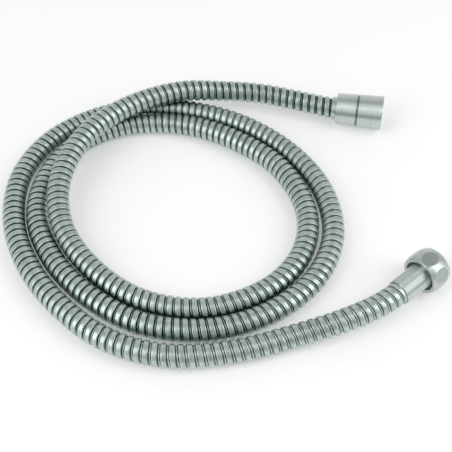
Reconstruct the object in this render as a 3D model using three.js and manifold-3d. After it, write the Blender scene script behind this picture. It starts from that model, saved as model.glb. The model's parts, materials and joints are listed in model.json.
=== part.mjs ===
// A flexible metal shower hose that lies on a floor in a loose coil of two and a half turns.
// A wound metal casing holds a plastic tube. At each end a turned brass tail is pushed into the tube,
// a pressed ferrule grips the casing over it, and a nut that turns freely pulls on the tail's flange.
// One nut is a smooth cone for the handset, the other is a domed hexagon for the valve. A flat washer
// lies in the mouth of each nut.
// Millimetres, +Z up. The origin is on the floor, under the middle of the whole hose.
import * as THREE from "three";
import { mergeVertices } from "three/addons/utils/BufferGeometryUtils.js";
import Module from "manifold-3d";

const wasm = await Module();
wasm.setup();

// Clearance between pieces that touch or turn on each other
const CLEARANCE = 0.3;

// Hose
const HOSE_DIAMETER = 14;
const CASING_WALL = 1.4;
const TUBE_GAP = 0.4;
const TUBE_WALL = 1.2;
const HOSE_STEPS = 80;
const CASING_SIDES = 12;
const TUBE_SIDES = 8;

// Ferrule: a cup over the end of the casing, with a thick nose in front
const FERRULE_GRIP = 16.5;
const FERRULE_WALL = 0.4;
const FERRULE_NOSE = 4.2;
const FERRULE_LIP = 0.25;

// Insert: barbed tail in the tube, neck through the ferrule's nose, flange in the nut
const INSERT_BORE = 4.5;
const TAIL_LENGTH = 12.5;
const BARB_COUNT = 4;
const BARB_HEIGHT = 0.35;
const BARB_BACK_LENGTH = 0.25;
const NECK_DIAMETER = 9.2;
const FLANGE_THICKNESS = 2;

// Washer and thread: a G1/2 pipe thread, drawn as the plain bore of its crests
const WASHER_THICKNESS = 2;
const WASHER_BORE = 11;
const THREAD_BORE = 18.631;
const THREAD_MOUTH = 21.2;

// Cone nut: lengths behind the shoulder that pulls on the flange, and in front of the washer
const CONE_BACK_LENGTH = 18;
const CONE_THREAD_LENGTH = 8.9;
const CONE_BACK_DIAMETER = 20.8;
const CONE_FRONT_DIAMETER = 23.4;
const CONE_EDGE = 0.6;
const GROOVE_FROM_BACK = 14.5;
const GROOVE_WIDTH = 1.5;
const GROOVE_DEPTH = 0.5;

// Hex nut: a turned dome whose six sides are flattened
const HEX_BACK_LENGTH = 3;
const HEX_THREAD_LENGTH = 6.9;
const HEX_ACROSS_FLATS = 24;
const HEX_BACK_DIAMETER = 23.8;
const HEX_BELLY_DIAMETER = 25.8;
const HEX_BELLY_FROM_BACK = 6.6;
const HEX_FRONT_DIAMETER = 22.4;
const HEX_RECESS_DIAMETER = 19.2;
const HEX_RECESS_DEPTH = 1.5;
const HEX_EDGE = 0.6;

// Fineness of the turned pieces and of the hex nut's domed outline
const ROUND_SEGMENTS = 40;
const DOME_STEPS = 14;
const WELD_DISTANCE = 1e-4;

// Sizes that follow
const hoseRadius = HOSE_DIAMETER / 2;
const casingBoreRadius = hoseRadius - CASING_WALL;
const tubeRadius = casingBoreRadius - TUBE_GAP;
const tubeBoreRadius = tubeRadius - TUBE_WALL;
const ferruleRadius = hoseRadius + CLEARANCE + FERRULE_WALL;
const nutHoleRadius = ferruleRadius + CLEARANCE;
const hexRecessRadius = HEX_RECESS_DIAMETER / 2;
const threadRadius = THREAD_BORE / 2;
const flangeRadius = threadRadius - CLEARANCE;

// Stations along the axis of an end fitting, from the plane where the hose enters the ferrule
const noseStart = FERRULE_GRIP + CLEARANCE;
const shoulder = noseStart + FERRULE_NOSE;
const flangeBack = shoulder + CLEARANCE;
const flangeFront = flangeBack + FLANGE_THICKNESS;
const washerBack = flangeFront + CLEARANCE;
const washerFront = washerBack + WASHER_THICKNESS;
const coneBack = shoulder - CONE_BACK_LENGTH;
const coneFront = washerFront + CONE_THREAD_LENGTH;
const hexBack = shoulder - HEX_BACK_LENGTH;
const hexFront = washerFront + HEX_THREAD_LENGTH;

// The cone nut lies on its slanted side, so its axis rises towards its wider mouth. The hex nut lies
// on a flat, so its axis is level.
const coneTilt = Math.asin((CONE_FRONT_DIAMETER - CONE_BACK_DIAMETER) / 2 / (coneFront - coneBack));
const coneBackHeight = (CONE_BACK_DIAMETER / 2) * Math.cos(coneTilt);
const CONE_END = {
  x: 78.3,
  y: 91,
  z: coneBackHeight - coneBack * Math.sin(coneTilt),
  heading: -11.65,
  tilt: coneTilt,
};
const HEX_END = { x: 104.8, y: -63.9, z: HEX_ACROSS_FLATS / 2, heading: 40.4, tilt: 0 };

// Where the hose runs between the two ferrules, from the cone nut to the hex nut: x and y of its middle,
// and how far its underside is above the floor. It crosses over two strands of the coil near the start
// and otherwise lies on the floor.
const ROUTE = [
  [62, 95.4, 3.6],
  [32.6, 102.8, 4.8],
  [2, 102.2, 8.4],
  [-28.5, 96, 13.5],
  [-64.5, 77.5, 15],
  [-88.5, 51, 14.5],
  [-100, 16, 11],
  [-94.5, -17, 5.5],
  [-71.5, -47.5, 1.5],
  [-42, -66.5, 0],
  [-5, -71.5, 0],
  [32, -56, 0],
  [51.5, -30.5, 0],
  [55.5, 1.5, 0],
  [40, 38, 0],
  [11, 63, 0],
  [-21.5, 77, 0],
  [-58.5, 78, 0],
  [-90.5, 62.5, 0],
  [-110, 33.5, 0],
  [-113.5, -2, 0],
  [-99.5, -36, 0],
  [-74, -64, 0],
  [-42.5, -82, 0],
  [-6, -86, 0],
  [28.5, -75.5, 0],
  [57.5, -51, 0],
  [71, -18.5, 0],
  [67.5, 17, 0],
  [49.5, 49, 0],
  [21, 74.5, 0],
  [-10, 88.5, 0],
  [-47.5, 94, 0],
  [-83, 85, 0],
  [-112.5, 62.5, 0],
  [-128, 30.5, 0],
  [-127.5, -6.5, 0],
  [-114, -40.5, 0],
  [-91.5, -69.5, 0],
  [-62.5, -92, 0],
  [-28, -102.5, 0],
  [9, -100, 0],
  [44, -90.2, 0.6],
  [73, -81.8, 4.4],
  [93.2, -72.2, 5],
];
// Stations on a fitting's axis that keep the hose straight inside its ferrule
const STRAIGHT_STATIONS = [FERRULE_GRIP, FERRULE_GRIP / 2, 0];

// Materials
const satinNickel = { color: 0xa9aea9, roughness: 0.34, metalness: 1 };
const brass = { color: 0xb5954f, roughness: 0.35, metalness: 1 };
const tubePlastic = { color: 0xd9dbd6, roughness: 0.6, metalness: 0 };
const washerRubber = { color: 0x1c1e1d, roughness: 0.85, metalness: 0 };

// A closed geometry as a solid
function solidOf(geometry) {
  geometry.deleteAttribute("normal");
  geometry.deleteAttribute("uv");
  const merged = mergeVertices(geometry, WELD_DISTANCE);
  return new wasm.Manifold(
    new wasm.Mesh({
      numProp: 3,
      vertProperties: merged.attributes.position.array,
      triVerts: new Uint32Array(merged.index.array),
    }),
  );
}

// A named mesh of a solid
function piece(name, solid, look) {
  const { vertProperties, triVerts } = solid.getMesh();
  const geometry = new THREE.BufferGeometry();
  geometry.setAttribute("position", new THREE.BufferAttribute(vertProperties, 3));
  geometry.setIndex(new THREE.BufferAttribute(triVerts, 1));
  geometry.computeVertexNormals();
  const mesh = new THREE.Mesh(geometry, new THREE.MeshStandardMaterial(look));
  mesh.name = name;
  return mesh;
}

// A ring turned about +Z. The profile lists [radius, station], up the outside and down the bore.
function turned(profile) {
  const points = profile.map(([radius, station]) => new THREE.Vector2(radius, station));
  points.push(points[0].clone());
  const geometry = new THREE.LatheGeometry(points, ROUND_SEGMENTS);
  geometry.rotateX(Math.PI / 2);
  return solidOf(geometry);
}

// The place of an end fitting: +Z along its axis to the open end, +Y up, origin where the hose enters
function endGroup(end) {
  const heading = THREE.MathUtils.degToRad(end.heading);
  const level = Math.cos(end.tilt);
  const axis = new THREE.Vector3(level * Math.cos(heading), level * Math.sin(heading), Math.sin(end.tilt));
  const side = new THREE.Vector3(0, 0, 1).cross(axis).normalize();
  const up = new THREE.Vector3().crossVectors(axis, side);
  const group = new THREE.Group();
  group.quaternion.setFromRotationMatrix(new THREE.Matrix4().makeBasis(side, up, axis));
  group.position.set(end.x, end.y, end.z);
  group.updateMatrixWorld(true);
  return group;
}

const coneEnd = endGroup(CONE_END);
const hexEnd = endGroup(HEX_END);

// Hose

function onAxis(group, station) {
  return group.localToWorld(new THREE.Vector3(0, 0, station));
}

const route = new THREE.CatmullRomCurve3(
  [
    ...STRAIGHT_STATIONS.map((station) => onAxis(coneEnd, station)),
    ...ROUTE.map(([x, y, rise]) => new THREE.Vector3(x, y, hoseRadius + rise)),
    ...STRAIGHT_STATIONS.toReversed().map((station) => onAxis(hexEnd, station)),
  ],
  false,
  "centripetal",
);
route.arcLengthDivisions = 2000;

// A flat stands at the bottom and at each side of the section
function polygon(radius, sides) {
  return Array.from({ length: sides }, (_, i) => {
    const angle = ((i + 0.5) / sides) * 2 * Math.PI;
    return new THREE.Vector2(radius * Math.cos(angle), radius * Math.sin(angle));
  });
}

function tubeAlongRoute(radius, sides, boreRadius) {
  const section = new THREE.Shape(polygon(radius, sides));
  section.holes.push(new THREE.Path(polygon(boreRadius, TUBE_SIDES)));
  return solidOf(
    new THREE.ExtrudeGeometry(section, { steps: HOSE_STEPS, extrudePath: route, curveSegments: 1 }),
  );
}

const outerCasing = piece(
  "outer_casing",
  tubeAlongRoute(hoseRadius, CASING_SIDES, casingBoreRadius),
  satinNickel,
);
const innerTube = piece("inner_tube", tubeAlongRoute(tubeRadius, TUBE_SIDES, tubeBoreRadius), tubePlastic);

// Ferrule, insert and washer: the same at both ends

function ferrule(name) {
  const grip = hoseRadius + CLEARANCE;
  const noseHole = NECK_DIAMETER / 2 + CLEARANCE;
  return piece(
    name,
    turned([
      [grip, 0],
      [ferruleRadius - FERRULE_LIP, 0],
      [ferruleRadius, FERRULE_LIP],
      [ferruleRadius, shoulder - FERRULE_LIP],
      [ferruleRadius - FERRULE_LIP, shoulder],
      [noseHole, shoulder],
      [noseHole, noseStart],
      [grip, noseStart],
    ]),
    satinNickel,
  );
}

// Each barb is a saw tooth that slopes towards the tube and bites against its pull
function insert(name) {
  const barbRadius = tubeBoreRadius * Math.cos(Math.PI / TUBE_SIDES) - CLEARANCE;
  const tailRadius = barbRadius - BARB_HEIGHT;
  const tailStart = FERRULE_GRIP - TAIL_LENGTH;
  const pitch = TAIL_LENGTH / (BARB_COUNT + 1);
  const profile = [
    [INSERT_BORE / 2, tailStart],
    [tailRadius, tailStart],
  ];
  for (let barb = 1; barb <= BARB_COUNT; barb++) {
    const barbEnd = tailStart + barb * pitch;
    profile.push([barbRadius, barbEnd - BARB_BACK_LENGTH], [tailRadius, barbEnd]);
  }
  profile.push(
    [tailRadius, noseStart],
    [NECK_DIAMETER / 2, noseStart],
    [NECK_DIAMETER / 2, flangeBack],
    [flangeRadius, flangeBack],
    [flangeRadius, flangeFront],
    [INSERT_BORE / 2, flangeFront],
  );
  return piece(name, turned(profile), brass);
}

function washer(name) {
  return piece(
    name,
    turned([
      [WASHER_BORE / 2, washerBack],
      [flangeRadius, washerBack],
      [flangeRadius, washerFront],
      [WASHER_BORE / 2, washerFront],
    ]),
    washerRubber,
  );
}

for (const [group, end] of [[coneEnd, "cone_end"], [hexEnd, "hex_end"]]) {
  group.add(ferrule(`${end}_ferrule`), insert(`${end}_insert`), washer(`${end}_washer`));
}

// The inside of a nut, from its mouth to the back of its hole for the ferrule: chamfered thread bore,
// shoulder, hole
function nutInside(front, holeBack) {
  return [
    [THREAD_MOUTH / 2, front],
    [threadRadius, front - (THREAD_MOUTH - THREAD_BORE) / 2],
    [threadRadius, shoulder],
    [nutHoleRadius, shoulder],
    [nutHoleRadius, holeBack],
  ];
}

// How much of a rounded edge's radius is cut away at the middle of its arc
const arcMiddle = 1 - Math.SQRT1_2;

// Cone nut

function coneNut() {
  const length = coneFront - coneBack;
  const radiusAt = (fromBack) =>
    (CONE_BACK_DIAMETER + (CONE_FRONT_DIAMETER - CONE_BACK_DIAMETER) * (fromBack / length)) / 2;
  const outside = (fromBack, depth = 0) => [radiusAt(fromBack) - depth, coneBack + fromBack];
  const grooveStart = GROOVE_FROM_BACK - GROOVE_WIDTH / 2;
  const grooveEnd = GROOVE_FROM_BACK + GROOVE_WIDTH / 2;
  const slope = GROOVE_DEPTH / 2;
  return turned([
    outside(0, CONE_EDGE),
    outside(CONE_EDGE * arcMiddle, CONE_EDGE * arcMiddle),
    outside(CONE_EDGE),
    outside(grooveStart),
    outside(grooveStart + slope, GROOVE_DEPTH),
    outside(grooveEnd - slope, GROOVE_DEPTH),
    outside(grooveEnd),
    outside(length - CONE_EDGE),
    outside(length - CONE_EDGE * arcMiddle, CONE_EDGE * arcMiddle),
    outside(length, CONE_EDGE),
    ...nutInside(coneFront, coneBack),
  ]);
}

// Hex nut: the dome is turned first, and a six-sided prism then flattens its sides, one on the floor

function hexNut() {
  const backRadius = HEX_BACK_DIAMETER / 2;
  const frontRadius = HEX_FRONT_DIAMETER / 2;
  const recessBottom = hexBack + HEX_RECESS_DEPTH;
  const belly = new THREE.SplineCurve([
    new THREE.Vector2(backRadius, hexBack + HEX_EDGE),
    new THREE.Vector2(HEX_BELLY_DIAMETER / 2, hexBack + HEX_BELLY_FROM_BACK),
    new THREE.Vector2(frontRadius, hexFront - HEX_EDGE),
  ]);
  const dome = turned([
    [hexRecessRadius, recessBottom],
    [hexRecessRadius, hexBack + HEX_EDGE],
    [hexRecessRadius + HEX_EDGE * arcMiddle, hexBack + HEX_EDGE * arcMiddle],
    [(hexRecessRadius + backRadius) / 2, hexBack],
    [backRadius - HEX_EDGE, hexBack],
    [backRadius - HEX_EDGE * arcMiddle, hexBack + HEX_EDGE * arcMiddle],
    ...belly.getPoints(DOME_STEPS).map((point) => [point.x, point.y]),
    [frontRadius - HEX_EDGE * arcMiddle, hexFront - HEX_EDGE * arcMiddle],
    ...nutInside(hexFront, recessBottom),
  ]);
  const cornerRadius = HEX_ACROSS_FLATS / 2 / Math.cos(Math.PI / 6);
  const prismLength = 2 * (hexFront - hexBack);
  const prism = new THREE.CylinderGeometry(cornerRadius, cornerRadius, prismLength, 6);
  prism.rotateX(Math.PI / 2);
  prism.rotateZ(Math.PI / 6);
  prism.translate(0, 0, (hexBack + hexFront) / 2);
  return dome.intersect(solidOf(prism));
}

coneEnd.add(piece("cone_nut", coneNut(), satinNickel));
hexEnd.add(piece("hex_nut", hexNut(), satinNickel));

const showerHose = new THREE.Group();
showerHose.name = "shower_hose";
showerHose.add(outerCasing, innerTube, coneEnd, hexEnd);

export default showerHose;
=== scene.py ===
"""A satin nickel shower hose that lies in a loose coil on a pale floor.

The wound casing is one helical strip of bands and grooves that follows the route of the hose. The nuts,
ferrules, inserts and washers are turned shapes on the axes of the two swivel joints.
"""

import json
import math

import bpy
import numpy as np
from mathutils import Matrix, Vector


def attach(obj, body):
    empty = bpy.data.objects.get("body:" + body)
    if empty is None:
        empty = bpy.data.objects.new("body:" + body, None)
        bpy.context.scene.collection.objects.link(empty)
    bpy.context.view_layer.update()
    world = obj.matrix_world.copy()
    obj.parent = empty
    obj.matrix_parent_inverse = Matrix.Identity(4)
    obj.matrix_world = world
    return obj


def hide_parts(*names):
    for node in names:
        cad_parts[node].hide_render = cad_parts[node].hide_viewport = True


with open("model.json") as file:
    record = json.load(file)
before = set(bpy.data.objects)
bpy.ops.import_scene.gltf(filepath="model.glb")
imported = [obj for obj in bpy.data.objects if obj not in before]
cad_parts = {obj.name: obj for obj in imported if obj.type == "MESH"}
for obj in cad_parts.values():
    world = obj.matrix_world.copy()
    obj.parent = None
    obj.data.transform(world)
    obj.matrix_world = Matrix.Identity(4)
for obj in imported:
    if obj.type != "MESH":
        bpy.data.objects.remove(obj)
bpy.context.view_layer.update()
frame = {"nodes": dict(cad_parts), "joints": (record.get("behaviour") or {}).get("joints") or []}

# Lengths are in millimetres and angles in degrees. The floor and the lamps are in metres
MM = 0.001

# Camera, measured from the photograph: it looks along +Y, down at the floor
CAMERA_PLACE = (5.0, -345.97, 432.43)
CAMERA_DOWN = 51.745
CAMERA_LENS = 69.40
SENSOR_WIDTH = 36
NEAREST_SEEN = 10

# Hose: the strip's pitch and the width of its raised band
HOSE_DIAMETER = 14.0
STRIP_PITCH = 4.79
BAND_WIDTH = 3.2
# Where the casing is drawn out or pushed together: middle and reach along the hose, and the extra pitch
STRETCHES = [
    (75, 65, 0.47), (268, 30, -0.5), (475, 25, -0.15), (640, 25, -0.15), (780, 25, -0.2), (880, 70, 0.07),
    (1095, 40, 0.15), (1280, 110, -0.13), (1500, 60, 0.18), (1560, 35, 0.4),
]
# Turns of the strip before the middle of its first band
STRIP_PHASE = 0.12
# Raised band: distance from its middle, and radius
BAND_PROFILE = [
    (-1.6, 5.9), (-1.58, 6.66), (-1.42, 6.9), (-1.05, 7.0),
    (1.05, 7.0), (1.42, 6.9), (1.58, 6.66), (1.6, 5.9),
]
# Groove: how far across it, as a share of its width, and radius
GROOVE_PROFILE = [(0.28, 5.8), (0.42, 6.24), (0.72, 6.28), (0.82, 5.8)]
# Depth below the bands that counts as 1 in the materials' painted shade
GROOVE_DEPTH = 1.0
# Painted shade in the grooves along the hose, stronger or weaker from place to place: place, and share of
# the usual painted shade
PAINTED_SHADE_ALONG_HOSE = [
    (0, 1.2), (60, 1.1), (170, 0.9), (440, 0.9), (520, 1), (880, 1.05), (950, 0.9), (1080, 0.9),
    (1300, 1.05), (1390, 1), (1450, 0.84), (1500, 0.75),
]
HOSE_FACETS = 24
# The route's curve: points in each span, step of the even samples, and how many samples smooth the bend
SPAN_POINTS = 60
SAMPLE_STEP = 0.5
BEND_WINDOW = 25

# End fittings: radii, lengths, and places along the axis from where the hose enters the ferrule
CLEARANCE = 0.3
# Lip of the ferrule: its radius, its length, and where the taper behind it reaches the bore
FERRULE_LIP = 7.08
LIP_LENGTH = 0.6
LIP_TAPER_END = 1.0
FERRULE_GRIP = 16.5
FERRULE_RADIUS = 7.7
FERRULE_BORE = 7.3
FERRULE_NOSE = 4.2
NECK_RADIUS = 4.6
TAIL_RADIUS = 3.05
INSERT_BORE = 2.25
INSERT_START = 4.0
FLANGE_THICKNESS = 2.0
WASHER_THICKNESS = 2.0
WASHER_BORE = 5.5
THREAD_CREST = 9.316
THREAD_DEPTH = 1.0
THREAD_PITCH = 1.814
THREAD_MOUTH = 10.6
THREAD_ROWS_PER_PITCH = 10
NUT_HOLE = 8.0
HOLE_EDGE = 0.05
NOSE_START = FERRULE_GRIP + CLEARANCE
SHOULDER = NOSE_START + FERRULE_NOSE
FLANGE_BACK = SHOULDER + CLEARANCE
FLANGE_FRONT = FLANGE_BACK + FLANGE_THICKNESS
WASHER_BACK = FLANGE_FRONT + CLEARANCE
WASHER_FRONT = WASHER_BACK + WASHER_THICKNESS
FLANGE_RADIUS = THREAD_CREST - CLEARANCE

# Cone nut
CONE_BACK = SHOULDER - 18.0
CONE_FRONT = WASHER_FRONT + 8.9
CONE_BACK_RADIUS = 10.4
CONE_FRONT_RADIUS = 11.7
CONE_EDGE = 0.6
GROOVE_FROM_BACK = 14.5
GROOVE_WIDTH = 1.5
CONE_GROOVE_DEPTH = 0.5
# Side of the turned groove: distance from its edge, and depth
GROOVE_SIDE = (
    (-0.1, 0), (-0.02, 0.02), (0.02, 0.1), (0.06, CONE_GROOVE_DEPTH - 0.1), (0.12, CONE_GROOVE_DEPTH),
)
# Painted shade of the turned groove, the ground flats and the recess, where 1 is the full painted shade
# colour
CONE_GROOVE_PAINTED_SHADE = 0.85
FLAT_PAINTED_SHADE = 0.68
RECESS_PAINTED_SHADE = 0.94

# Hex nut
HEX_BACK = SHOULDER - 3.0
HEX_FRONT = WASHER_FRONT + 6.9
HEX_APOTHEM = 12.0
HEX_BACK_RADIUS = 11.9
HEX_BELLY_RADIUS = 12.9
HEX_BELLY_FROM_BACK = 6.6
HEX_FRONT_RADIUS = 11.2
HEX_RECESS_RADIUS = 9.6
HEX_RECESS_DEPTH = 1.5
RECESS_EDGE = 0.1
HEX_EDGE = 0.6
HEX_DOME_ROWS = 70
FLAT_SOFTNESS = 0.05
# The last rows of a nut with a recess: the end of the hole, the recess's floor and its rim
RECESS_ROWS = 4

ROUND_SEGMENTS = 180
FILLET_STEPS = 4
# A fillet takes at most this share of a side
FILLET_SHARE = 0.45
# Weight of a face's area in the shading of its corners
AREA_WEIGHT = 80
# Steps of a rounded edge, as shares of its radius: how far below the face, and how far in from the end
QUARTER_TURN = [(1 - math.sin(turn), 1 - math.cos(turn)) for turn in np.linspace(0, math.pi / 2, 6)]
# Map whose first direction runs round a turned piece, as its brushing does
BRUSHED_MAP = "brushed_round"

# Where the middle of the hose runs between the two ferrules, from the cone nut to the hex nut
ROUTE = [
    (62, 95.4, 10.6), (32.6, 102.8, 11.8), (2, 102.2, 15.4), (-28.5, 96, 20.5), (-64.5, 77.5, 22),
    (-88.5, 51, 21.5), (-100, 16, 18), (-94.5, -17, 12.5), (-71.5, -47.5, 8.5), (-42, -66.5, 7),
    (-5, -71.5, 7), (32, -56, 7), (51.5, -30.5, 7), (55.5, 1.5, 7), (40, 38, 7), (11, 63, 7),
    (-21.5, 77, 7), (-58.5, 78, 7), (-90.5, 62.5, 7), (-110, 33.5, 7), (-113.5, -2, 7),
    (-99.5, -36, 7), (-74, -64, 7), (-42.5, -82, 7), (-6, -86, 7), (28.5, -75.5, 7), (57.5, -51, 7),
    (71, -18.5, 7), (67.5, 17, 7), (49.5, 49, 7), (21, 74.5, 7), (-10, 88.5, 7), (-47.5, 94, 7),
    (-83, 85, 7), (-112.5, 62.5, 7), (-128, 30.5, 7), (-127.5, -6.5, 7), (-114, -40.5, 7),
    (-91.5, -69.5, 7), (-62.5, -92, 7), (-28, -102.5, 7), (9, -100, 7), (44, -90.2, 7.6),
    (73, -81.8, 11.4), (93.2, -72.2, 12),
]
STRAIGHT_STATIONS = (FERRULE_GRIP, FERRULE_GRIP / 2, 0)


# Places of the two end fittings

def end_place(joint_name):
    """The joint's plane, the axis towards the open end, and the level side and the up across it."""
    joint = next(j for j in frame["joints"] if j["name"] == joint_name)
    axis = np.array(joint["axis"], float)
    axis /= np.linalg.norm(axis)
    side = np.cross((0, 0, 1), axis)
    side /= np.linalg.norm(side)
    return {"origin": np.array(joint["pos_m"]) / MM, "axis": axis, "side": side, "up": np.cross(axis, side)}


CONE_END = end_place("cone_nut_swivel")
HEX_END = end_place("hex_nut_swivel")


def on_axis(end, station):
    """The point of an end's axis at a distance from its joint's plane."""
    return end["origin"] + station * end["axis"]


# Route of the hose

def route_samples():
    """Points of a centripetal Catmull-Rom curve through the route's points, and their distance along it."""
    knots = [on_axis(CONE_END, s) for s in STRAIGHT_STATIONS]
    knots += [np.array(p, float) for p in ROUTE]
    knots += [on_axis(HEX_END, s) for s in reversed(STRAIGHT_STATIONS)]
    knots = np.array(knots)
    padded = np.vstack([2 * knots[0] - knots[1], knots, 2 * knots[-1] - knots[-2]])
    before, start, stop, after = padded[:-3], padded[1:-2], padded[2:-1], padded[3:]
    d0 = np.sqrt(np.linalg.norm(start - before, axis=1))[:, None]
    d1 = np.sqrt(np.linalg.norm(stop - start, axis=1))[:, None]
    d2 = np.sqrt(np.linalg.norm(after - stop, axis=1))[:, None]
    slope0 = ((start - before) / d0 - (stop - before) / (d0 + d1) + (stop - start) / d1) * d1
    slope1 = ((stop - start) / d1 - (after - start) / (d1 + d2) + (after - stop) / d2) * d1
    square = -3 * start + 3 * stop - 2 * slope0 - slope1
    cube = 2 * start - 2 * stop + slope0 + slope1
    t = (np.arange(SPAN_POINTS) / SPAN_POINTS)[None, :, None]
    points = start[:, None] + slope0[:, None] * t + square[:, None] * t**2 + cube[:, None] * t**3
    points = np.vstack([points.reshape(-1, 3), stop[-1:]])
    arc = np.r_[0, np.cumsum(np.linalg.norm(np.diff(points, axis=0), axis=1))]
    return points, arc


def route_frames():
    """Even samples along the hose with their tangent, a normal that doesn't twist, and the bend."""
    raw, raw_arc = route_samples()
    count = int(raw_arc[-1] / SAMPLE_STEP)
    arc = np.linspace(0, raw_arc[-1], count)
    points = np.column_stack([np.interp(arc, raw_arc, raw[:, k]) for k in range(3)])
    tangents = np.gradient(points, arc, axis=0)
    tangents /= np.linalg.norm(tangents, axis=1, keepdims=True)
    normals = np.empty_like(points)
    normal = CONE_END["up"]
    for i, tangent in enumerate(tangents):
        normal = normal - tangent * (normal @ tangent)
        normal /= np.linalg.norm(normal)
        normals[i] = normal
    bends = np.gradient(tangents, arc, axis=0)
    window = np.ones(BEND_WINDOW) / BEND_WINDOW
    padded = np.pad(bends, ((BEND_WINDOW // 2, BEND_WINDOW // 2), (0, 0)), "edge")
    bends = np.column_stack([np.convolve(padded[:, k], window, "valid") for k in range(3)])
    return {"arc": arc, "points": points, "tangents": tangents, "normals": normals,
            "binormals": np.cross(tangents, normals), "bends": bends}


HOSE = route_frames()


def along(key, arc):
    """A value of the hose's samples at the given distances along it."""
    return np.stack([np.interp(arc, HOSE["arc"], HOSE[key][:, k]) for k in range(3)], axis=-1)


# Meshes

def new_mesh_object(name, vertices, faces, turn_coords=None, depth=None):
    """A smooth mesh from millimetres. turn_coords and depth are point attributes that the materials read,
    and depth sets their painted shade.
    """
    mesh = bpy.data.meshes.new(name)
    mesh.from_pydata(vertices * MM, [], faces)
    mesh.polygons.foreach_set("use_smooth", np.ones(len(faces), bool))
    if turn_coords is not None:
        layer = mesh.attributes.new("turn_coords", "FLOAT_VECTOR", "POINT")
        layer.data.foreach_set("vector", np.asarray(turn_coords, np.float32).ravel())
    layer = mesh.attributes.new("depth", "FLOAT", "POINT")
    layer.data.foreach_set("value", np.zeros(len(vertices), np.float32) if depth is None
                           else np.asarray(depth, np.float32))
    mesh.update()
    obj = bpy.data.objects.new(name, mesh)
    bpy.context.scene.collection.objects.link(obj)
    return obj


def winding():
    """Pitch of the strip, and the number of turns that it has made, at each sample along the hose."""
    arc = HOSE["arc"]
    pitch = np.full(len(arc), STRIP_PITCH)
    for middle, reach, extra in STRETCHES:
        pitch += extra * np.exp(-((arc - middle) / reach) ** 2)
    steps = np.diff(arc) * 2 / (pitch[:-1] + pitch[1:])
    return pitch, np.r_[0, np.cumsum(steps)]


def wound_casing():
    """The strip's bands and grooves. Bands keep their width round a bend, and the grooves open and close."""
    pitch_at, turns_at = winding()
    turns = int(turns_at[-1] - STRIP_PHASE) - 1
    per_turn = len(BAND_PROFILE) + len(GROOVE_PROFILE)
    facet = np.arange(HOSE_FACETS)
    angle = 2 * np.pi * facet / HOSE_FACETS
    wound = np.arange(turns)[:, None] + STRIP_PHASE + facet[None] / HOSE_FACETS
    centre = np.interp(wound, turns_at, HOSE["arc"])
    pitch = np.interp(wound, turns_at, pitch_at)

    def around(arc):
        across = np.cos(angle)[None, :, None] * along("normals", arc)
        return across + np.sin(angle)[None, :, None] * along("binormals", arc)

    stretch = 1 - HOSE_DIAMETER / 2 * np.sum(around(centre) * along("bends", centre), axis=-1)
    band_end = BAND_WIDTH / 2 / stretch
    arcs = [centre + offset / stretch for offset, _ in BAND_PROFILE]
    arcs += [centre + band_end + share * (pitch - 2 * band_end) for share, _ in GROOVE_PROFILE]
    arc = np.stack(arcs, axis=1).reshape(turns * per_turn, HOSE_FACETS)
    radius = np.tile([r for _, r in BAND_PROFILE + GROOVE_PROFILE], turns)[:, None]
    vertices = along("points", arc) + radius[..., None] * around(arc)
    ring = np.stack([radius * np.cos(angle), radius * np.sin(angle), arc], axis=-1)
    # Painted shade in the grooves, by depth, made stronger or weaker along the hose
    painted_shade_along = np.interp(arc, [place for place, _ in PAINTED_SHADE_ALONG_HOSE], [share for _, share in PAINTED_SHADE_ALONG_HOSE])
    depth = (HOSE_DIAMETER / 2 - radius) / GROOVE_DEPTH * painted_shade_along
    rows = turns * per_turn
    row, column = np.meshgrid(np.arange(rows - 1), facet, indexing="ij")
    wraps = column == HOSE_FACETS - 1
    next_row = np.where(wraps, row + per_turn, row)
    next_column = np.where(wraps, 0, column + 1)
    inside = next_row < rows - 1
    corners = ((row, column), (next_row, next_column), (next_row + 1, next_column), (row + 1, column))
    faces = np.stack([(r * HOSE_FACETS + c)[inside] for r, c in corners], axis=-1)
    obj = new_mesh_object("wound_casing", vertices.reshape(-1, 3), faces.tolist(),
                          ring.reshape(-1, 3), depth.ravel())
    shade_by_area(obj)
    return obj


def shade_by_area(obj):
    """Lets broad faces keep flat shading, so that only the small edges between them look round."""
    weighted = obj.modifiers.new("even_shading", "WEIGHTED_NORMAL")
    weighted.mode = "FACE_AREA"
    weighted.weight = AREA_WEIGHT


def filleted(profile):
    """A closed profile of (radius, station, fillet) with its corners rounded."""
    points = []
    count = len(profile)
    for i, (radius, station, fillet) in enumerate(profile):
        corner = np.array([radius, station])
        to_last = np.array(profile[i - 1][:2]) - corner
        to_next = np.array(profile[(i + 1) % count][:2]) - corner
        shortest = min(np.linalg.norm(to_last), np.linalg.norm(to_next))
        reach = min(fillet, FILLET_SHARE * shortest)
        start = corner + to_last / np.linalg.norm(to_last) * reach
        stop = corner + to_next / np.linalg.norm(to_next) * reach
        for t in np.linspace(0, 1, FILLET_STEPS + 1):
            points.append((1 - t) ** 2 * start + 2 * t * (1 - t) * corner + t**2 * stop)
    return np.array(points)


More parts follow.
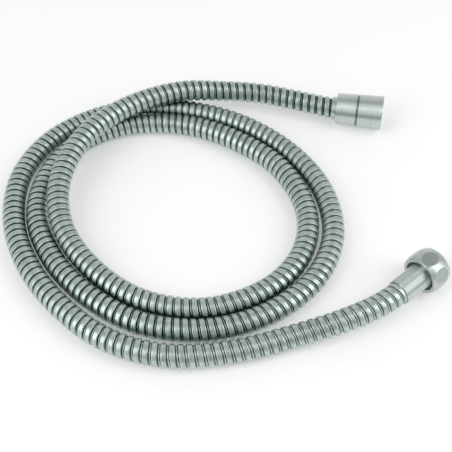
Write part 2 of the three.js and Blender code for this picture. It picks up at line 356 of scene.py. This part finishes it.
def turned(name, end, radii, stations, painted_shades=None):
    """A closed ring of rows round an end's axis. Radii and stations are rows by segments, and so are the
    painted shades, which go into the depth attribute.
    """
    rows, segments = radii.shape
    angle = 2 * np.pi * np.arange(segments) / segments
    outward = np.cos(angle)[:, None] * end["side"] + np.sin(angle)[:, None] * end["up"]
    vertices = end["origin"] + stations[..., None] * end["axis"] + radii[..., None] * outward
    ring = np.stack([radii * np.cos(angle), radii * np.sin(angle), stations], axis=-1)
    row, column = np.meshgrid(np.arange(rows), np.arange(segments), indexing="ij")
    row, column = row.ravel(), column.ravel()
    corners = ((row, column), (row, column + 1), (row + 1, column + 1), (row + 1, column))
    faces = np.stack([r % rows * segments + c % segments for r, c in corners], axis=-1)
    depth = None if painted_shades is None else painted_shades.ravel()
    obj = new_mesh_object(name, vertices.reshape(-1, 3), faces.tolist(), ring.reshape(-1, 3), depth)
    brushed = obj.data.uv_layers.new(name=BRUSHED_MAP)
    places = np.stack([np.stack([c / segments, r / rows], axis=-1) for r, c in corners], axis=1)
    brushed.uv.foreach_set("vector", places.astype(np.float32).ravel())
    shade_by_area(obj)
    return obj


def turned_profile(name, end, profile):
    """A closed profile of (radius, station, fillet), turned round an end's axis."""
    points = filleted(profile)
    shape = (len(points), ROUND_SEGMENTS)
    return turned(name, end, np.broadcast_to(points[:, :1], shape), np.broadcast_to(points[:, 1:], shape))


def nut_rows(outside, front, back, recess_radius=NUT_HOLE, recess_depth=0):
    """Rows of a nut: the outside as given, then the mouth, thread, shoulder, hole and recess."""
    share_round = np.arange(ROUND_SEGMENTS) / ROUND_SEGMENTS
    radii = [np.broadcast_to(np.asarray(radius, float), ROUND_SEGMENTS) for radius, _ in outside]
    stations = [np.full(ROUND_SEGMENTS, station) for _, station in outside]
    thread_end = SHOULDER + THREAD_PITCH
    mouth_start = front - (THREAD_MOUTH - THREAD_CREST)
    thread_rows = int((front - thread_end) / THREAD_PITCH * THREAD_ROWS_PER_PITCH)
    for station in np.linspace(front, thread_end, thread_rows):
        wave = 0.5 - 0.5 * np.cos(2 * np.pi * (station / THREAD_PITCH - share_round))
        fade = np.clip((station - thread_end) / THREAD_PITCH, 0, 1)
        radius = THREAD_CREST + fade * THREAD_DEPTH * wave
        chamfer = THREAD_CREST + (station - mouth_start)
        radii.append(np.maximum(radius, chamfer))
        stations.append(np.full(ROUND_SEGMENTS, station))
    back_of_hole = back + recess_depth
    hole = [
        (THREAD_CREST, SHOULDER + HOLE_EDGE), (THREAD_CREST - HOLE_EDGE, SHOULDER),
        (NUT_HOLE + HOLE_EDGE, SHOULDER), (NUT_HOLE, SHOULDER - HOLE_EDGE),
        (NUT_HOLE, back_of_hole + HOLE_EDGE),
    ]
    if recess_depth > 0:
        hole += [
            (NUT_HOLE + HOLE_EDGE, back_of_hole), (recess_radius - RECESS_EDGE, back_of_hole),
            (recess_radius, back_of_hole - RECESS_EDGE),
        ]
    for radius, station in hole:
        radii.append(np.full(ROUND_SEGMENTS, radius))
        stations.append(np.full(ROUND_SEGMENTS, station))
    return np.array(radii), np.array(stations)


# Ferrules, inserts and washers, the same at both ends

def ferrule(name, end):
    nose_hole = NECK_RADIUS + CLEARANCE
    return turned_profile(name, end, [
        (FERRULE_LIP, 0, 0.1), (FERRULE_RADIUS, 0, 0.5), (FERRULE_RADIUS, SHOULDER, 0.3),
        (nose_hole, SHOULDER, 0.1), (nose_hole, NOSE_START, 0.1), (FERRULE_BORE, NOSE_START, 0.1),
        (FERRULE_BORE, LIP_TAPER_END, 0.1), (FERRULE_LIP, LIP_LENGTH, 0.1),
    ])


def insert(name, end):
    return turned_profile(name, end, [
        (INSERT_BORE, INSERT_START, 0.1), (TAIL_RADIUS, INSERT_START, 0.2), (TAIL_RADIUS, NOSE_START, 0.1),
        (NECK_RADIUS, NOSE_START, 0.2), (NECK_RADIUS, FLANGE_BACK, 0.2), (FLANGE_RADIUS, FLANGE_BACK, 0.2),
        (FLANGE_RADIUS, FLANGE_FRONT, 0.2), (INSERT_BORE, FLANGE_FRONT, 0.3),
    ])


def washer(name, end):
    return turned_profile(name, end, [
        (WASHER_BORE, WASHER_BACK, 0.2), (FLANGE_RADIUS, WASHER_BACK, 0.2),
        (FLANGE_RADIUS, WASHER_FRONT, 0.3), (WASHER_BORE, WASHER_FRONT, 0.3),
    ])


def cone_nut():
    """A turned cone with rounded ends and one groove, which carries painted shade."""
    length = CONE_FRONT - CONE_BACK

    def radius_at(from_back):
        return CONE_BACK_RADIUS + (CONE_FRONT_RADIUS - CONE_BACK_RADIUS) * from_back / length

    outside = []
    for below, inward in QUARTER_TURN:
        from_back = CONE_EDGE * inward
        outside.append((radius_at(from_back) - CONE_EDGE * below, CONE_BACK + from_back))
    groove_start = GROOVE_FROM_BACK - GROOVE_WIDTH / 2
    groove_end = GROOVE_FROM_BACK + GROOVE_WIDTH / 2
    groove = [(groove_start + place, depth) for place, depth in GROOVE_SIDE]
    groove += [(groove_end - place, depth) for place, depth in reversed(GROOVE_SIDE)]
    first_groove_row = len(outside)
    for from_back, depth in groove:
        outside.append((radius_at(from_back) - depth, CONE_BACK + from_back))
    for below, inward in QUARTER_TURN:
        from_back = length - CONE_EDGE * below
        outside.append((radius_at(from_back) - CONE_EDGE * inward, CONE_BACK + from_back))
    radii, stations = nut_rows(outside, CONE_FRONT, CONE_BACK)
    painted_shades = np.zeros(radii.shape)
    # Painted shade on the rows of the groove's floor and sides
    for k, (_, depth) in enumerate(groove):
        painted_shades[first_groove_row + k] = CONE_GROOVE_PAINTED_SHADE if depth > 0 else 0
    return turned("cone_nut_turned", CONE_END, radii, stations, painted_shades)


def hex_nut():
    """A turned dome whose six sides are ground flat, with soft edges round each flat, and painted shade on
    the flats and in the recess.
    """
    angle = 2 * np.pi * np.arange(ROUND_SEGMENTS) / ROUND_SEGMENTS
    from_flat = angle % (math.pi / 3) - math.pi / 6
    flat = HEX_APOTHEM / np.cos(from_flat)
    length = HEX_FRONT - HEX_BACK
    outside = [(HEX_RECESS_RADIUS + HEX_EDGE * inward, HEX_BACK + HEX_EDGE * below)
               for below, inward in QUARTER_TURN]
    outside += [(HEX_BACK_RADIUS - HEX_EDGE * below, HEX_BACK + HEX_EDGE * inward)
                for below, inward in QUARTER_TURN]
    knots = [(HEX_EDGE, HEX_BACK_RADIUS), (HEX_BELLY_FROM_BACK, HEX_BELLY_RADIUS),
             (length - HEX_EDGE, HEX_FRONT_RADIUS)]
    curve = np.polyfit(*zip(*knots), 2)
    ground = {}
    for from_back in np.linspace(HEX_EDGE, length - HEX_EDGE, HEX_DOME_ROWS)[1:]:
        dome = np.polyval(curve, from_back)
        gap = dome - flat
        # Painted shade on the flats, fading in over their soft edges
        ground[len(outside)] = np.clip(gap / FLAT_SOFTNESS, 0, 1) * FLAT_PAINTED_SHADE
        outside.append((dome - 0.5 * (gap + np.sqrt(gap**2 + FLAT_SOFTNESS**2)), HEX_BACK + from_back))
    outside += [(HEX_FRONT_RADIUS - HEX_EDGE * inward, HEX_FRONT - HEX_EDGE * below)
                for below, inward in QUARTER_TURN[1:]]
    radii, stations = nut_rows(outside, HEX_FRONT, HEX_BACK, HEX_RECESS_RADIUS, HEX_RECESS_DEPTH)
    painted_shades = np.zeros(radii.shape)
    # Painted shade on the last rows, in the recess
    painted_shades[-RECESS_ROWS:] = RECESS_PAINTED_SHADE
    for row, shade in ground.items():
        painted_shades[row] = shade
    return turned("hex_nut_domed", HEX_END, radii, stations, painted_shades)


# Materials

# Colour of the painted shade, a green-black, in grooves, recesses, on flats and between close turns
PAINTED_SHADE_COLOUR = (0.004, 0.05, 0.029)
# The painted shade's colour comes in over this range of depth, up to a material's darkest depth
SHADE_RANGE = 0.4
# Values of the streaks between which the roughness goes from its least to its most
STREAK_RANGE = (0.3, 0.7)
# Share of the fine streaks in the tone, against broad clouds, and the values of its two ends
STREAK_SHARE = 0.75
CLOUD_SCALE = 0.22
TONE_RANGE = (0.4, 0.6)
# Painted shade where the strip's own metal hems it in: how far it looks for metal round it, and the open
# shares where the painted shade is full and where there is none
CROWDING_REACH = 4
CROWDED = 0.1
OPEN = 0.55
ROUGHNESS_SWING = 0.08
# A colour Mix node's sockets share their names with its other types, so they go by place
MIX_FIRST = 6
MIX_SECOND = 7
MIX_RESULT = 2


def material(name):
    """A new material, with its nodes, its links and its main shader."""
    mat = bpy.data.materials.new(name)
    mat.use_nodes = True
    return mat, mat.node_tree.nodes, mat.node_tree.links, mat.node_tree.nodes["Principled BSDF"]


def add_noise(nodes, links, coords, scale, detail, roughness=0.5):
    """A noise texture's value over the given coordinates."""
    noise = nodes.new("ShaderNodeTexNoise")
    noise.inputs["Scale"].default_value = scale
    noise.inputs["Detail"].default_value = detail
    noise.inputs["Roughness"].default_value = roughness
    links.new(coords, noise.inputs["Vector"])
    return noise.outputs["Fac"]


def map_range(nodes, links, value, inputs, outputs=(0, 1)):
    """A value mapped from one range to another, and kept within it."""
    mapped = nodes.new("ShaderNodeMapRange")
    mapped.inputs["From Min"].default_value = inputs[0]
    mapped.inputs["From Max"].default_value = inputs[1]
    mapped.inputs["To Min"].default_value = outputs[0]
    mapped.inputs["To Max"].default_value = outputs[1]
    links.new(value, mapped.inputs["Value"])
    return mapped.outputs["Result"]


def tone_ramp(nodes, links, value, tones, places=(0, 1)):
    """The colour between two tones at a value."""
    ramp = nodes.new("ShaderNodeValToRGB")
    for stop, tone, place in zip(ramp.color_ramp.elements, tones, places):
        stop.position = place
        stop.color = (*tone, 1)
    links.new(value, ramp.inputs["Fac"])
    return ramp.outputs["Color"]


def mix_painted_shade(nodes, links, colour, factor):
    """A colour that turns into the painted shade's colour with the factor."""
    mix = nodes.new("ShaderNodeMix")
    mix.data_type = "RGBA"
    links.new(factor, mix.inputs["Factor"])
    links.new(colour, mix.inputs[MIX_FIRST])
    mix.inputs[MIX_SECOND].default_value = (*PAINTED_SHADE_COLOUR, 1)
    return mix.outputs[MIX_RESULT]


def nickel(name, tones, streak_scale, relief, roughness, darkest_depth):
    """Satin nickel plate: fine streaks round the piece in tone, roughness and relief, and painted shade by
    the depth attribute.
    """
    mat, nodes, links, shader = material(name)
    shader.inputs["Metallic"].default_value = 1
    coords = nodes.new("ShaderNodeAttribute")
    coords.attribute_name = "turn_coords"
    stretch = nodes.new("ShaderNodeMapping")
    stretch.inputs["Scale"].default_value = streak_scale
    links.new(coords.outputs["Vector"], stretch.inputs["Vector"])
    streaks = add_noise(nodes, links, stretch.outputs["Vector"], scale=1, detail=5, roughness=0.7)
    links.new(map_range(nodes, links, streaks, STREAK_RANGE, roughness), shader.inputs["Roughness"])
    ridges = nodes.new("ShaderNodeBump")
    ridges.inputs["Distance"].default_value = relief * MM
    links.new(streaks, ridges.inputs["Height"])
    links.new(ridges.outputs["Normal"], shader.inputs["Normal"])
    clouds = add_noise(nodes, links, coords.outputs["Vector"], scale=CLOUD_SCALE, detail=2)
    blend = nodes.new("ShaderNodeMix")
    blend.inputs["Factor"].default_value = STREAK_SHARE
    links.new(clouds, blend.inputs["A"])
    links.new(streaks, blend.inputs["B"])
    tone = tone_ramp(nodes, links, blend.outputs["Result"], tones, TONE_RANGE)
    depth = nodes.new("ShaderNodeAttribute")
    depth.attribute_name = "depth"
    # Painted shade: the depth attribute turns the tone towards the painted shade colour
    shade = map_range(nodes, links, depth.outputs["Fac"], (darkest_depth - SHADE_RANGE, darkest_depth))
    colour = mix_painted_shade(nodes, links, tone, shade)
    links.new(colour, shader.inputs["Base Color"])
    return mat, nodes, links, shader, colour


def strip_nickel():
    """The wound strip, with painted shade in its grooves and where the turns of the hose lie close."""
    tones = ((0.422, 0.49, 0.464), (0.582, 0.665, 0.636))
    mat, nodes, links, shader, colour = nickel(
        "strip_nickel", tones, streak_scale=(0.05, 0.05, 1.1), relief=0.12, roughness=(0.3, 0.46),
        darkest_depth=0.97)
    # Painted shade where the turns lie close, from the strip's own occlusion
    openness = nodes.new("ShaderNodeAmbientOcclusion")
    openness.only_local = True
    openness.samples = 8
    openness.inputs["Distance"].default_value = CROWDING_REACH * MM
    close_turns_painted_shade = map_range(nodes, links, openness.outputs["AO"], (CROWDED, OPEN), (1, 0))
    links.new(mix_painted_shade(nodes, links, colour, close_turns_painted_shade), shader.inputs["Base Color"])
    return mat


def brushed_nickel(name, tones, roughness, anisotropy):
    """The nuts and ferrules, whose turned finish draws highlights out along the axis."""
    mat, nodes, links, shader, _ = nickel(
        name, tones, streak_scale=(0.06, 0.06, 1.2), relief=0.006, roughness=roughness, darkest_depth=1.0)
    shader.inputs["Anisotropic"].default_value = anisotropy
    shader.inputs["Anisotropic Rotation"].default_value = 0.25
    round_axis = nodes.new("ShaderNodeTangent")
    round_axis.direction_type = "UV_MAP"
    round_axis.uv_map = BRUSHED_MAP
    links.new(round_axis.outputs["Tangent"], shader.inputs["Tangent"])
    return mat


def noisy(name, tones, roughness, metallic, scale):
    """A plain material whose colour and roughness wander between two values."""
    mat, nodes, links, shader = material(name)
    shader.inputs["Metallic"].default_value = metallic
    coords = nodes.new("ShaderNodeTexCoord")
    noise = add_noise(nodes, links, coords.outputs["Object"], scale=scale, detail=4)
    links.new(tone_ramp(nodes, links, noise, tones), shader.inputs["Base Color"])
    swing = (roughness - ROUGHNESS_SWING, roughness + ROUGHNESS_SWING)
    links.new(map_range(nodes, links, noise, (0, 1), swing), shader.inputs["Roughness"])
    return mat


STRIP_NICKEL = strip_nickel()
BRUSHED_NICKEL = brushed_nickel(
    "brushed_nickel", ((0.59, 0.655, 0.635), (0.69, 0.755, 0.735)), roughness=(0.34, 0.46), anisotropy=1)
# Darker tones than the brushed nickel's: painted shade, a shaded copy of the same plate; its lower roughness
# and anisotropy are its finish
DOMED_NICKEL = brushed_nickel(
    "domed_nickel", ((0.465, 0.52, 0.5), (0.55, 0.605, 0.585)), roughness=(0.26, 0.36), anisotropy=0.6)
BRASS = noisy(
    "turned_brass", ((0.62, 0.47, 0.22), (0.74, 0.6, 0.34)), roughness=0.32, metallic=1, scale=900)
RUBBER = noisy(
    "washer_rubber", ((0.02, 0.022, 0.021), (0.04, 0.043, 0.042)), roughness=0.8, metallic=0, scale=1500)
PLASTIC = noisy(
    "tube_plastic", ((0.78, 0.79, 0.76), (0.86, 0.87, 0.84)), roughness=0.55, metallic=0, scale=400)

# Pieces

casing = wound_casing()
casing.data.materials.append(STRIP_NICKEL)
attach(casing, "hose")
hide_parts("outer_casing")
frame["nodes"]["inner_tube"].data.materials.clear()
frame["nodes"]["inner_tube"].data.materials.append(PLASTIC)

for end, end_name in ((CONE_END, "cone_end"), (HEX_END, "hex_end")):
    for make, part, finish, slot in ((ferrule, "ferrule", BRUSHED_NICKEL, "satin_nickel"),
                                     (insert, "insert", BRASS, "insert_brass"),
                                     (washer, "washer", RUBBER, "washer_rubber")):
        obj = make(f"{end_name}_{part}_turned", end)
        obj.data.materials.append(finish)
        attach(obj, "hose")
        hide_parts(f"{end_name}_{part}")

for obj, node, body, finish in ((cone_nut(), "cone_nut", "handset_nut", BRUSHED_NICKEL),
                                (hex_nut(), "hex_nut", "valve_nut", DOMED_NICKEL)):
    obj.data.materials.append(finish)
    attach(obj, body)
    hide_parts(node)

# Camera

camera_data = bpy.data.cameras.new("camera")
camera_data.lens = CAMERA_LENS
camera_data.sensor_width = SENSOR_WIDTH
camera_data.clip_start = NEAREST_SEEN * MM
camera = bpy.data.objects.new("camera", camera_data)
camera.location = [c * MM for c in CAMERA_PLACE]
camera.rotation_euler = (math.radians(90 - CAMERA_DOWN), 0, 0)
bpy.context.scene.collection.objects.link(camera)
bpy.context.scene.camera = camera

# Floor, light and backdrop, in metres

FLOOR_HALF = 3.0
# The floor lies just under the hose, so that they don't share a plane
FLOOR_DROP = 0.0001
FLOOR_GREY = 0.8
FLOOR_GLOW = 0.27
# Grey of the room from the front, 0, to the back, 1
WALLS = [(0.25, 0.45), (0.55, 0.6), (0.72, 0.54), (0.84, 0.72), (1.0, 0.9)]
SOFTBOX_ELEVATION = 38
SOFTBOX_DISTANCE = 1.1
SOFTBOX_WIDTH = 0.6
SOFTBOX_HEIGHT = 1.15
# Radiance of a lamp's face
SOFTBOX_BRIGHTNESS = 2.0


def seen_or_mirrored(nodes, links):
    """1 for camera, glossy and transmission rays, which see the backdrop."""
    path = nodes.new("ShaderNodeLightPath")
    seen = path.outputs["Is Camera Ray"]
    for ray in ("Is Glossy Ray", "Is Transmission Ray"):
        either = nodes.new("ShaderNodeMath")
        either.operation = "MAXIMUM"
        links.new(seen, either.inputs[0])
        links.new(path.outputs[ray], either.inputs[1])
        seen = either.outputs[0]
    return seen


def pale_floor():
    """A matt floor that the camera and the metal see a little lighter than it is."""
    signs = ((-1, -1), (1, -1), (1, 1), (-1, 1))
    mesh = bpy.data.meshes.new("floor")
    mesh.from_pydata([(x * FLOOR_HALF, y * FLOOR_HALF, 0) for x, y in signs], [], [(0, 1, 2, 3)])
    floor = bpy.data.objects.new("floor", mesh)
    bpy.context.scene.collection.objects.link(floor)
    floor.location = (0, 0, -FLOOR_DROP)
    mat, nodes, links, shader = material("pale_floor")
    shader.inputs["Base Color"].default_value = (FLOOR_GREY, FLOOR_GREY, FLOOR_GREY, 1)
    shader.inputs["Roughness"].default_value = 0.9
    shader.inputs["Specular IOR Level"].default_value = 0
    glow = nodes.new("ShaderNodeEmission")
    glow.inputs["Strength"].default_value = FLOOR_GLOW
    both = nodes.new("ShaderNodeAddShader")
    links.new(shader.outputs[0], both.inputs[0])
    links.new(glow.outputs[0], both.inputs[1])
    pick = nodes.new("ShaderNodeMixShader")
    links.new(seen_or_mirrored(nodes, links), pick.inputs[0])
    links.new(shader.outputs[0], pick.inputs[1])
    links.new(both.outputs[0], pick.inputs[2])
    links.new(pick.outputs[0], nodes["Material Output"].inputs["Surface"])
    mesh.materials.append(mat)


def studio_world():
    """A grey room, darker in front of the object than behind it."""
    world = bpy.data.worlds.new("studio")
    world.use_nodes = True
    bpy.context.scene.world = world
    nodes, links = world.node_tree.nodes, world.node_tree.links
    coords = nodes.new("ShaderNodeTexCoord")
    parts = nodes.new("ShaderNodeSeparateXYZ")
    links.new(coords.outputs["Generated"], parts.inputs[0])
    walls = nodes.new("ShaderNodeValToRGB")
    links.new(map_range(nodes, links, parts.outputs["Y"], (-1, 1)), walls.inputs["Fac"])
    while len(walls.color_ramp.elements) < len(WALLS):
        walls.color_ramp.elements.new(1)
    for stop, (place, grey) in zip(walls.color_ramp.elements, WALLS):
        stop.position = place
        stop.color = (grey, grey, grey, 1)
    links.new(walls.outputs["Color"], nodes["Background"].inputs["Color"])


def softbox(name, azimuth):
    """An upright lamp that faces the object. Azimuth 0 is +X, and 90 is +Y."""
    data = bpy.data.lights.new(name, "AREA")
    data.shape = "RECTANGLE"
    data.size = SOFTBOX_WIDTH
    data.size_y = SOFTBOX_HEIGHT
    data.energy = SOFTBOX_BRIGHTNESS * math.pi * SOFTBOX_WIDTH * SOFTBOX_HEIGHT
    lamp = bpy.data.objects.new(name, data)
    turn, rise = math.radians(azimuth), math.radians(SOFTBOX_ELEVATION)
    level = SOFTBOX_DISTANCE * math.cos(rise)
    place = Vector((level * math.cos(turn), level * math.sin(turn), SOFTBOX_DISTANCE * math.sin(rise)))
    lamp.location = place
    lamp.rotation_euler = (-place).to_track_quat("-Z", "Y").to_euler()
    bpy.context.scene.collection.objects.link(lamp)


pale_floor()
studio_world()
softbox("left_softbox", azimuth=211)
softbox("right_softbox", azimuth=347)
bpy.context.scene.view_settings.view_transform = "Standard"
